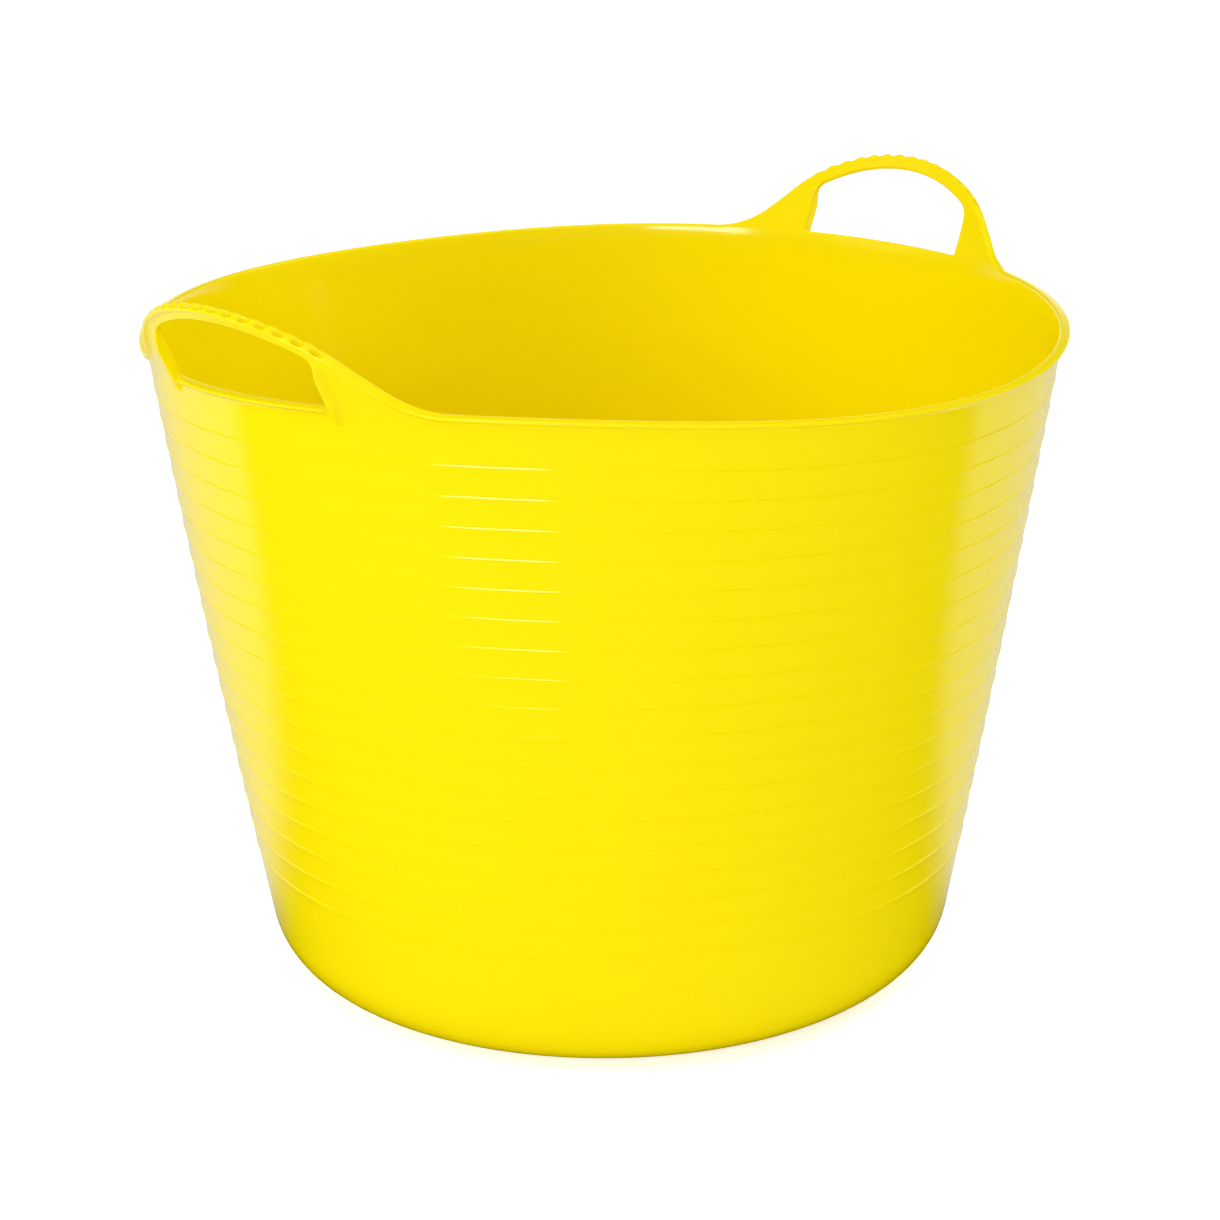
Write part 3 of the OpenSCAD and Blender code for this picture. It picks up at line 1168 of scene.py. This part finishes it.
@dataclass
class LowerTub:
    """Wall, rings, heel, standing ring and floor: everything below the top zone.

    Attributes:
        form: The tub's sizes.
        rings: The rings of the wall.
        skin: The skin that takes the points and faces.
        heel_steps: Faces round the outer heel.
        inner_heel_steps: Faces round the inner heel.
        inner_rows: Rows of the inner wall.
        thicken_h: Height over which the wall's thickness turns into the web's.
        disc_shares: Rows of the floor's middle, as shares of its radius.
        ring_margin: Distance from the heel to the standing ring's first row inside it.
        step_margin: Distance from the recess to the standing ring's last flat row.
        step_ease: Distance from the step into the recess at which its rounding starts.
        step_ease_h: Height of the rounding's ends off the flats.
        step_turn: Shares of the step at which its rounded face has rows.
        disc_margin: Distance from the step to the recess's first flat row.
        foot_ease: Rows round the foot of the floor's step inside, outwards and upwards of it.
        top_ease: The row before the step's top, given the same way.
        gate_dip: Radii of the gate mark's rows and their depth.
        hub_r: Radius of the floor's last row inside.
    """

    form: TubForm
    rings: RingBand
    skin: Skin
    heel_steps: int = 14
    inner_heel_steps: int = 10
    inner_rows: int = 34
    thicken_h: float = 40.0
    disc_shares: tuple[float, ...] = (0.8, 0.6, 0.4, 0.2)
    ring_margin: float = 8.0
    step_margin: float = 4.0
    step_ease: float = 0.8
    step_ease_h: float = 0.05
    step_turn: tuple[float, ...] = (0.28, 0.72)
    disc_margin: float = 3.0
    foot_ease: tuple[tuple[float, float], ...] = ((1.5, 0.0), (-0.3, 0.3))
    top_ease: tuple[float, float] = (1.2, -0.4)
    gate_dip: tuple[tuple[float, float], ...] = ((9.0, 0.0), (6.5, 0.0), (6.0, 0.12),
                                                 (4.2, 0.45), (2.4, 0.5))
    hub_r: float = 6.0

    def heel(self, r: float, steps: int) -> Profile:
        """The heel's arc about its own middle, from the wall down to the standing ring."""
        f = self.form
        turns = [mix(-f.heel_tilt, -math.pi / 2, i / steps) for i in range(1, steps + 1)]
        rows = [(f.stand_r + r * math.cos(a), f.heel_r + r * math.sin(a), "heel") for a in turns]
        rows[-1] = (*rows[-1][:2], "standing_ring")
        return rows

    def outside(self, top_z: float) -> Profile:
        """Profile from below the top zone down, under the base, to its middle."""
        f = self.form
        rows = [(f.wall_out(z) + out, z, "wall_rings" if ring else "wall")
                for z, out, ring in self.rings.rows(f.heel_z, top_z)]
        rows[-1] = (*rows[-1][:2], "heel")
        rows += self.heel(f.heel_r, self.heel_steps)
        disc, step = f.stand_r - f.stand_w, f.recess_depth
        ring = [(f.stand_r - self.ring_margin, 0.0), (disc + step + self.step_margin, 0.0),
                (disc + step + self.step_ease, self.step_ease_h)]
        ring += [(disc + step * (1 - share), step * share) for share in self.step_turn]
        rows += [(r, z, "standing_ring") for r, z in ring]
        middle = [(disc - self.step_ease, step - self.step_ease_h), (disc - self.disc_margin, step)]
        middle += [(disc * share, step) for share in self.disc_shares]
        middle += [(r, step - dip) for r, dip in self.gate_dip]
        return rows + [(r, z, "floor_disc") for r, z in middle]

    def inside(self, top_z: float) -> Profile:
        """Profile from below the top zone down the inner wall to the middle of the floor."""
        f = self.form
        gap = f.wall_t / math.cos(f.heel_tilt)
        low = f.heel_r - (f.heel_r - f.wall_t) * math.sin(f.heel_tilt)
        rows: Profile = []
        for i in range(self.inner_rows + 1):
            z = mix(top_z, low, i / self.inner_rows)
            t = mix(gap, f.web_t, smooth((z - top_z + self.thicken_h) / self.thicken_h))
            rows.append((f.wall_out(z) - t, z, "wall" if i < self.inner_rows else "heel"))
        rows += self.heel(f.heel_r - f.wall_t, self.inner_heel_steps)
        disc, top = f.stand_r - f.stand_w, f.recess_depth + f.floor_t
        out = disc + top
        ring = [(out + self.ring_margin, f.wall_t)]
        ring += [(out + outwards, f.wall_t + up) for outwards, up in self.foot_ease]
        ring += [(disc + self.top_ease[0], top + self.top_ease[1])]
        rows += [(r, z, "standing_ring") for r, z in ring]
        middle = [disc - self.step_ease, *(disc * share for share in self.disc_shares), self.hub_r]
        return rows + [(r, top, "floor_disc") for r in middle]

    def sweep(self, row: list[int], profile: Profile, inner: bool) -> None:
        """Carries a profile down from a row of the skin to a middle point.

        Args:
            row: The columns' points that the profile hangs from.
            profile: The profile, whose first entry is the row itself.
            inner: Whether the faces look towards the tub's axis.
        """
        skin = self.skin
        angles = [skin.polar(k)[0] for k in row]
        if angles[-1] < 0:
            angles[-1] += 2 * math.pi
        above, tag = row, profile[0][2]
        for r, z, next_tag in profile[1:]:
            below = skin.add(around(a, r, z) for a in angles)
            skin.strip(*((above, below) if inner else (below, above)), tag)
            above, tag = below, next_tag
        hub = skin.add([(0.0, 0.0, profile[-1][1])])[0]
        for pair in zip(above, above[1:]):
            skin.face((*(pair if inner else pair[::-1]), hub), tag)


@dataclass
class Moulding:
    """The whole tub as one skin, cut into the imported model's regions.

    Attributes:
        form: The tub's sizes.
        stance: How the soft tub stands.
        base_step: Columns of the top zone, under a handle, to each column of the wall.
        base_drop: Height of the band in which the columns thin out.
    """

    form: TubForm
    stance: SetInUse
    base_step: int = 4
    base_drop: float = 2.5

    def lowered(self, skin: Skin, row: Sequence[int]) -> list[int]:
        """Adds a row of points under another one, one band further down the wall."""
        inwards = self.form.wall_slope * self.base_drop
        spots = [skin.polar(k) for k in row]
        return skin.add(around(a, r - inwards, z - self.base_drop) for a, r, z in spots)

    def thinned(self, skin: Skin, row: list[int], inner: bool) -> list[int]:
        """Steps a row down to fewer columns with one band of wider faces."""
        below = self.lowered(skin, row[::self.base_step])
        for i in range(len(below) - 1):
            top = row[i * self.base_step:(i + 1) * self.base_step + 1]
            corners = (below[i], below[i + 1], *reversed(top))
            skin.face(corners[::-1] if inner else corners, "wall")
        return below

    def build(self) -> tuple[np.ndarray, list[tuple[int, ...]], list[str]]:
        """Builds the skin.

        Returns:
            Its settled points, its faces and each face's region.
        """
        f = self.form
        skin = Skin()
        edge = EdgeLine(f)
        top = TopZone(f, edge, HandOpening(f, edge), LipSection(f), GripPattern(), LegBead(f),
                      skin)
        lower = LowerTub(f, RingBand(f), skin)
        top_z = f.rim_z + top.base_h - self.base_drop
        for foot in top.build():
            thin = self.thinned(skin, foot.handle, foot.inner)
            above = foot.handle[-1:] + foot.rim
            below = thin[-1:] + self.lowered(skin, foot.rim)
            skin.strip(*((above, below) if foot.inner else (below, above)), "wall")
            profile = lower.inside(top_z) if foot.inner else lower.outside(top_z)
            lower.sweep(thin + below[1:], profile, foot.inner)
        skin.add_other_half()
        points, faces, tags = skin.welded()
        return self.stance.settle(points, f.rim_z), faces, tags


def vertex_normals(points: np.ndarray, faces: list[tuple[int, ...]]) -> np.ndarray:
    """Normals of a skin at its points, each face counting by its area's root.

    Args:
        points: The skin's points.
        faces: The skin's faces.

    Returns:
        One unit normal for each point.
    """
    total = np.zeros_like(points)
    by_size: dict[int, list[tuple[int, ...]]] = {}
    for face in faces:
        by_size.setdefault(len(face), []).append(face)
    for size, group in by_size.items():
        index = np.array(group)
        corners = points[index]
        area = np.zeros((len(group), 3))
        for k in range(1, size - 1):
            area += np.cross(corners[:, k] - corners[:, 0], corners[:, k + 1] - corners[:, 0])
        weight = area / np.sqrt(np.linalg.norm(area, axis=1, keepdims=True) + 1e-12)
        for k in range(size):
            np.add.at(total, index[:, k], weight)
    return total / (np.linalg.norm(total, axis=1, keepdims=True) + 1e-12)


def mesh_piece(name: str, points: np.ndarray, normals: np.ndarray,
               faces: list[tuple[int, ...]]) -> bpy.types.Object:
    """Makes one piece from its faces of the skin, keeping the skin's normals.

    Args:
        name: The piece's name.
        points: All points of the skin, in millimetres.
        normals: All normals of the skin.
        faces: The piece's faces.

    Returns:
        The new object, linked to the scene.
    """
    used = np.unique(np.concatenate([np.array(f) for f in faces]))
    number = {int(k): i for i, k in enumerate(used)}
    mesh = bpy.data.meshes.new(name)
    mesh.from_pydata((points[used] * MM).tolist(), [],
                     [tuple(number[k] for k in face) for face in faces])
    mesh.polygons.foreach_set("use_smooth", [True] * len(mesh.polygons))
    mesh.normals_split_custom_set_from_vertices(normals[used].tolist())
    mesh.update()
    obj = bpy.data.objects.new(name, mesh)
    bpy.context.scene.collection.objects.link(obj)
    return obj


# ---------------------------------------------------------------- finishes


def add_node(tree: bpy.types.NodeTree, kind: str, settings: dict[str, object] | None = None,
             **inputs: object) -> bpy.types.Node:
    """Adds a shader node with its settings, constants and links.

    Args:
        tree: The tree to add to.
        kind: Blender's name for the kind of node.
        settings: Properties of the node itself.
        **inputs: Socket names, with spaces as underscores, or in0, in1 and so on by place.
            A value that is a socket is linked, and any other is set.

    Returns:
        The new node.
    """
    node = tree.nodes.new(kind)
    for key, value in (settings or {}).items():
        setattr(node, key, value)
    for key, value in inputs.items():
        place = key[2:]
        socket = node.inputs[int(place)] if key.startswith("in") and place.isdigit() \
            else node.inputs[key.replace("_", " ")]
        if isinstance(value, bpy.types.NodeSocket):
            tree.links.new(value, socket)
        else:
            socket.default_value = value
    return node


@dataclass(frozen=True)
class MouldedPolyethylene:
    """Low-density polyethylene, injection moulded: waxy, softly glossy, coloured through.

    Attributes:
        name: The material's name.
        slot: The record's material slot; not used.
        colour: The pigment's sRGB hex colour.
        deep: The pigment a shade deeper, where the flow lines gather it.
        roughness: Roughness of the clean surface.
        peel: Size of the fine orange peel, in millimetres.
        peel_depth: Its height, in millimetres.
        sway: Height of the slow waves that a soft wall keeps, in millimetres.
        sway_size: Their length across, in millimetres.
        flow_size: Size across of the clouds of deeper pigment, in millimetres.
        flow_stretch: Scale of those clouds and waves along the height; less draws them out.
        scuff: How strongly handling has dulled the surface, from 0 to 1.
        scuff_size: Size of the dulled spots, in millimetres.
        scuff_span: Values of their clouds between which the dulling sets in.
        scuff_roughness: Roughness that full dulling adds.
        ior: Index of refraction of polyethylene.
    """

    name: str
    slot: str
    colour: str = "#F6E100"
    deep: str = "#F5DF00"
    roughness: float = 0.11
    peel: float = 3.0
    peel_depth: float = 0.002
    sway: float = 0.1
    sway_size: float = 55.0
    flow_size: float = 70.0
    flow_stretch: float = 0.35
    scuff: float = 0.03
    scuff_size: float = 9.0
    scuff_span: tuple[float, float] = (0.55, 0.8)
    scuff_roughness: float = 0.35
    ior: float = 1.51

    def build(self) -> bpy.types.Material:
        """Makes the material's node tree."""
        material = bpy.data.materials.new(self.name)
        material.use_nodes = True
        tree = material.node_tree
        tree.nodes.clear()
        place = add_node(tree, "ShaderNodeTexCoord").outputs["Object"]
        flow = add_node(tree, "ShaderNodeMapping", in0=place,
                        in3=(1.0, 1.0, self.flow_stretch)).outputs[0]
        cloud, slow, fine, rubbed = (
            add_node(tree, "ShaderNodeTexNoise", Vector=where, Scale=1 / (size * MM),
                     Detail=detail, Roughness=rough).outputs[0]
            for where, size, detail, rough in (
                (flow, self.flow_size, 3.0, 0.5), (flow, self.sway_size, 1.0, 0.4),
                (place, self.peel, 2.0, 0.5), (place, self.scuff_size, 6.0, 0.65)))
        tint = add_node(tree, "ShaderNodeMix", {"data_type": "RGBA"}, in0=cloud,
                        in6=linear_colour(self.colour), in7=linear_colour(self.deep))
        low, high = self.scuff_span
        dull = add_node(tree, "ShaderNodeMapRange", {"clamp": True}, Value=rubbed, in1=low,
                        in2=high, in3=self.roughness,
                        in4=self.roughness + self.scuff_roughness * self.scuff).outputs[0]
        waves = add_node(tree, "ShaderNodeBump", Strength=1.0, Distance=self.sway * MM,
                         Height=slow).outputs[0]
        peel = add_node(tree, "ShaderNodeBump", Strength=1.0, Distance=self.peel_depth * MM,
                        Height=fine, Normal=waves).outputs[0]
        shader = add_node(tree, "ShaderNodeBsdfPrincipled", Base_Color=tint.outputs[2],
                          Roughness=dull, IOR=self.ior, Normal=peel).outputs[0]
        add_node(tree, "ShaderNodeOutputMaterial", Surface=shader)
        return material


class Finish(Enum):
    """The tub's finishes. All are one moulding, so one pigment, handled differently."""

    # Outer wall and heel: straight from a polished tool, so the clearest gloss.
    OUTER = MouldedPolyethylene("moulded_polyethylene_polished_wall", "moulded_body")
    # Lip and handle borders: rounded tool edges that hands and shovels dull a little.
    EDGE = MouldedPolyethylene("moulded_polyethylene_handled_edge", "moulded_edges",
                               roughness=0.19, sway=0.03, scuff=0.06)
    # Handle webs: thin, quickly frozen plastic with faint flow marks.
    HANDLE = MouldedPolyethylene("moulded_polyethylene_handle_web", "moulded_handles",
                                 roughness=0.14, sway=0.05, peel_depth=0.003, scuff=0.05)
    # Base: it slides over floors, so its gloss is rubbed and its colour a shade deeper.
    BASE = MouldedPolyethylene("moulded_polyethylene_rubbed_base", "moulded_body",
                               deep="#EBD100", roughness=0.4, peel=1.6, peel_depth=0.02,
                               sway=0.1, scuff=0.9)


@dataclass(frozen=True)
class Piece:
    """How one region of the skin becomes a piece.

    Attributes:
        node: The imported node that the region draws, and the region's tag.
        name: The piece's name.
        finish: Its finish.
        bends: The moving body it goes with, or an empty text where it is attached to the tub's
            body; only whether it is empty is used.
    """

    node: str
    name: str
    finish: Finish
    bends: str = ""


TUB_PARTS: dict[str, Finish] = {
    "floor_disc": Finish.BASE,
    "standing_ring": Finish.BASE,
    "heel": Finish.OUTER,
    "wall": Finish.OUTER,
    "wall_rings": Finish.OUTER,
    "rim_lip_front": Finish.EDGE,
    "rim_lip_back": Finish.EDGE,
}
HANDLE_PARTS: dict[str, Finish] = {
    "sill": Finish.EDGE,
    "foot_front": Finish.HANDLE,
    "foot_back": Finish.HANDLE,
    "bow": Finish.HANDLE,
    "grip": Finish.EDGE,
    "grip_ridges": Finish.EDGE,
    "leg_beads": Finish.HANDLE,
}


def piece_list() -> Iterator[Piece]:
    """Gives all pieces: the tub's own, then each handle's, of which only the sill has no moving
    body.
    """
    for node, finish in TUB_PARTS.items():
        yield Piece(node, "tub_" + node.removesuffix("_disc"), finish)
    for hand in ("left", "right"):
        for part, finish in HANDLE_PARTS.items():
            bends = "" if part == "sill" else f"{hand}_handle"
            yield Piece(f"{hand}_{part}", f"{hand}_handle_{part}", finish, bends)


# ---------------------------------------------------------------- studio


WHITE = linear_colour("#FFFFFF")
SMOOTH_RANGE = {"clamp": True, "interpolation_type": "SMOOTHSTEP"}

@dataclass(frozen=True)
class SoftBox:
    """A rectangular lamp.

    Attributes:
        name: The lamp's name.
        azimuth: Direction from the tub, in degrees from +X.
        elevation: Direction above level, in degrees.
        distance: Distance from the point it looks at, in metres.
        width: Width in metres.
        height: Height in metres.
        power: Power in watts.
        mirrored: Whether glossy surfaces show the lamp.
    """

    name: str
    azimuth: float
    elevation: float
    distance: float
    width: float
    height: float
    power: float
    mirrored: bool = True

    def hang(self, target: Vector) -> None:
        """Adds the lamp, looking at a point."""
        data = bpy.data.lights.new(self.name, "AREA")
        data.shape, data.size, data.size_y = "RECTANGLE", self.width, self.height
        data.energy = self.power
        lamp = bpy.data.objects.new(self.name, data)
        lamp.visible_glossy = self.mirrored
        a, e = math.radians(self.azimuth), math.radians(self.elevation)
        away = Vector((math.cos(a) * math.cos(e), math.sin(a) * math.cos(e), math.sin(e)))
        lamp.location = target + away * self.distance
        lamp.rotation_euler = away.to_track_quat("Z", "Y").to_euler()
        bpy.context.scene.collection.objects.link(lamp)


@dataclass(frozen=True)
class Studio:
    """Pale floor, soft light and camera.

    Attributes:
        camera_at: Camera position in metres.
        heading: Direction it looks along the floor, in degrees from +X.
        pitch: How far it looks down, in degrees.
        roll: Roll of the camera, in degrees.
        lens: Focal length in millimetres on a sensor of the width given next.
        sensor: Width of the sensor in millimetres.
        fill: Strength of the even light from all around.
        horizon: Heights on a sky of radius 1 between which the white in glossy surfaces ends.
        backdrop: Distances behind the tub, on that sky, at which it starts and is full.
        floor_half: Half the floor's width in metres.
        floor_paint: The floor's sRGB hex colour.
        floor_lift: Light that the floor itself adds where the camera sees it.
        floor_bounce: Light that it throws up at the tub.
        floor_glow: Its brightness in glossy surfaces, behind the tub.
        floor_behind: Distances behind the tub's axis at which it starts and is full, in metres.
        lamps: The soft boxes around the tub.
    """

    camera_at: Point = (-0.9935, -0.9126, 0.6022)
    heading: float = 42.5
    pitch: float = 17.6
    roll: float = 0.69
    lens: float = 83.27
    sensor: float = 36.0
    fill: float = 0.5
    horizon: tuple[float, float] = (0.14, 0.31)
    backdrop: tuple[float, float] = (0.45, 0.85)
    floor_half: float = 6.0
    floor_paint: str = "#F2F2F2"
    floor_lift: float = 0.6
    floor_bounce: float = 0.15
    floor_glow: float = 0.64
    floor_behind: tuple[float, float] = (-0.04, 0.08)
    lamps: tuple[SoftBox, ...] = (
        SoftBox("key_softbox", -160, 21, 2.0, 0.75, 0.3, 6.5),
        SoftBox("side_softbox", -20, 35, 2.2, 1.2, 1.2, 19, False),
        SoftBox("back_softbox", 140, 24, 2.2, 1.2, 0.8, 12.5, False),
        SoftBox("front_softbox", -137, 9, 2.4, 1.6, 0.6, 4, False),
        SoftBox("top_softbox", -140, 65, 2.0, 1.6, 1.6, 14, False),
    )

    def camera(self) -> None:
        """Sets up the camera."""
        data = bpy.data.cameras.new("camera")
        data.sensor_width, data.lens = self.sensor, self.lens
        camera = bpy.data.objects.new("camera", data)
        bpy.context.scene.collection.objects.link(camera)
        h, p, w = (math.radians(v) for v in (self.heading, self.pitch, self.roll))
        ahead = Vector((math.cos(h) * math.cos(p), math.sin(h) * math.cos(p), -math.sin(p)))
        right = ahead.cross(Vector((0, 0, 1))).normalized()
        up = right.cross(ahead)
        x = right * math.cos(w) - up * math.sin(w)
        y = right * math.sin(w) + up * math.cos(w)
        turn = Matrix((x, y, -ahead)).transposed().to_4x4()
        camera.matrix_world = Matrix.Translation(self.camera_at) @ turn
        bpy.context.scene.camera = camera

    def behind(self, tree: bpy.types.NodeTree, place: bpy.types.NodeSocket,
               span: tuple[float, float], full: float) -> bpy.types.NodeSocket:
        """A value that rises smoothly towards the side of the studio behind the tub.

        Args:
            tree: The tree to add to.
            place: Position or direction to judge.
            span: Lengths along the heading at which the rise starts and ends.
            full: Value at its end.

        Returns:
            The value's socket.
        """
        h = math.radians(self.heading)
        ahead = add_node(tree, "ShaderNodeVectorMath", {"operation": "DOT_PRODUCT"}, in0=place,
                         in1=(math.cos(h), math.sin(h), 0.0)).outputs["Value"]
        return add_node(tree, "ShaderNodeMapRange", SMOOTH_RANGE, Value=ahead, in1=span[0],
                        in2=span[1], in3=0.0, in4=full).outputs[0]

    def world(self) -> None:
        """Lights the scene evenly, in front of white.

        The camera sees plain white, and glossy surfaces see it low behind the tub only, so
        that the rest of their reflections stays dark.
        """
        world = bpy.data.worlds.new("studio_world")
        bpy.context.scene.world = world
        world.use_nodes = True
        tree = world.node_tree
        tree.nodes.clear()
        path = add_node(tree, "ShaderNodeLightPath")
        way = add_node(tree, "ShaderNodeTexCoord").outputs["Generated"]
        up = add_node(tree, "ShaderNodeSeparateXYZ", Vector=way).outputs["Z"]
        low = add_node(tree, "ShaderNodeMapRange", SMOOTH_RANGE, Value=up, in1=self.horizon[0],
                       in2=self.horizon[1], in3=1.0, in4=0.0).outputs[0]
        glow = add_node(tree, "ShaderNodeMath", {"operation": "MULTIPLY"},
                        in0=self.behind(tree, way, self.backdrop, 1.0), in1=low).outputs[0]
        fill, sweep, white = (
            add_node(tree, "ShaderNodeBackground", Color=WHITE, Strength=strength).outputs[0]
            for strength in (self.fill, glow, 1.0))
        seen = add_node(tree, "ShaderNodeMixShader", in0=path.outputs["Is Glossy Ray"], in1=fill,
                        in2=sweep).outputs[0]
        both = add_node(tree, "ShaderNodeMixShader", in0=path.outputs["Is Camera Ray"], in1=seen,
                        in2=white).outputs[0]
        add_node(tree, "ShaderNodeOutputWorld", Surface=both)

    def floor_material(self) -> bpy.types.Material:
        """White painted sweep: matt, so the tub's shadow on it stays soft and pale.

        It is bright to the camera, a weak bounce to the tub, and white in glossy surfaces
        behind the tub only.
        """
        material = bpy.data.materials.new("white_painted_sweep")
        material.use_nodes = True
        tree = material.node_tree
        tree.nodes.clear()
        path = add_node(tree, "ShaderNodeLightPath")
        place = add_node(tree, "ShaderNodeTexCoord").outputs["Object"]
        paint = add_node(tree, "ShaderNodeBsdfDiffuse",
                         Color=linear_colour(self.floor_paint)).outputs[0]
        lift, bounce, glow = (
            add_node(tree, "ShaderNodeEmission", Color=WHITE, Strength=strength).outputs[0]
            for strength in (self.floor_lift, self.floor_bounce,
                             self.behind(tree, place, self.floor_behind, self.floor_glow)))
        bright, under = (add_node(tree, "ShaderNodeAddShader", in0=paint, in1=light).outputs[0]
                         for light in (lift, bounce))
        plain = add_node(tree, "ShaderNodeMixShader", in0=path.outputs["Is Camera Ray"],
                         in1=under, in2=bright).outputs[0]
        both = add_node(tree, "ShaderNodeMixShader", in0=path.outputs["Is Glossy Ray"],
                        in1=plain, in2=glow).outputs[0]
        add_node(tree, "ShaderNodeOutputMaterial", Surface=both)
        material.cycles.emission_sampling = "NONE"
        return material

    def floor(self) -> None:
        """Adds the wide pale floor that the tub stands on."""
        mesh = bpy.data.meshes.new("studio_floor")
        s = self.floor_half
        mesh.from_pydata([(-s, -s, 0), (s, -s, 0), (s, s, 0), (-s, s, 0)], [], [(0, 1, 2, 3)])
        mesh.materials.append(self.floor_material())
        floor = bpy.data.objects.new("studio_floor", mesh)
        bpy.context.scene.collection.objects.link(floor)
        floor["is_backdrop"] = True

    def build(self, target: Vector) -> None:
        """Sets up the whole studio around a point."""
        self.camera()
        self.world()
        self.floor()
        for lamp in self.lamps:
            lamp.hang(target)
        bpy.context.scene.view_settings.view_transform = "Standard"


# ---------------------------------------------------------------- the whole scene


def corners(box: tuple[Vector, Vector]) -> list[list[float]]:
    """A box as plain lists."""
    return [list(map(float, v)) for v in box]


def main() -> None:
    """Builds the tub and the studio, piece by piece."""
    logging.basicConfig(level=logging.INFO, format="%(name)s: %(message)s")
    packed_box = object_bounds()
    form = TubForm.measured()
    LOG.info("rim %.1f mm across, %.1f mm high", 2 * form.rim_r, form.rim_z)
    points, faces, tags = Moulding(form, SetInUse()).build()
    normals = vertex_normals(points, faces)
    materials = {finish: finish.value.build() for finish in Finish}
    by_tag: dict[str, list[tuple[int, ...]]] = {}
    for face, tag in zip(faces, tags):
        by_tag.setdefault(tag, []).append(face)
    for piece in piece_list():
        obj = mesh_piece(piece.name, points, normals, by_tag[piece.node])
        obj.data.materials.append(materials[piece.finish])
        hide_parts(piece.node)
        if piece.bends:
            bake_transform(obj)
        else:
            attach(obj, "tub")
        LOG.info("%s: %d faces", piece.name, len(obj.data.polygons))
    Studio().build(Vector((0, 0, form.rim_z * MM / 2)))
    sizes = {"cad": corners(packed_box), "visual": corners(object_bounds())}


if __name__ == "__main__":
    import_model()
    main()
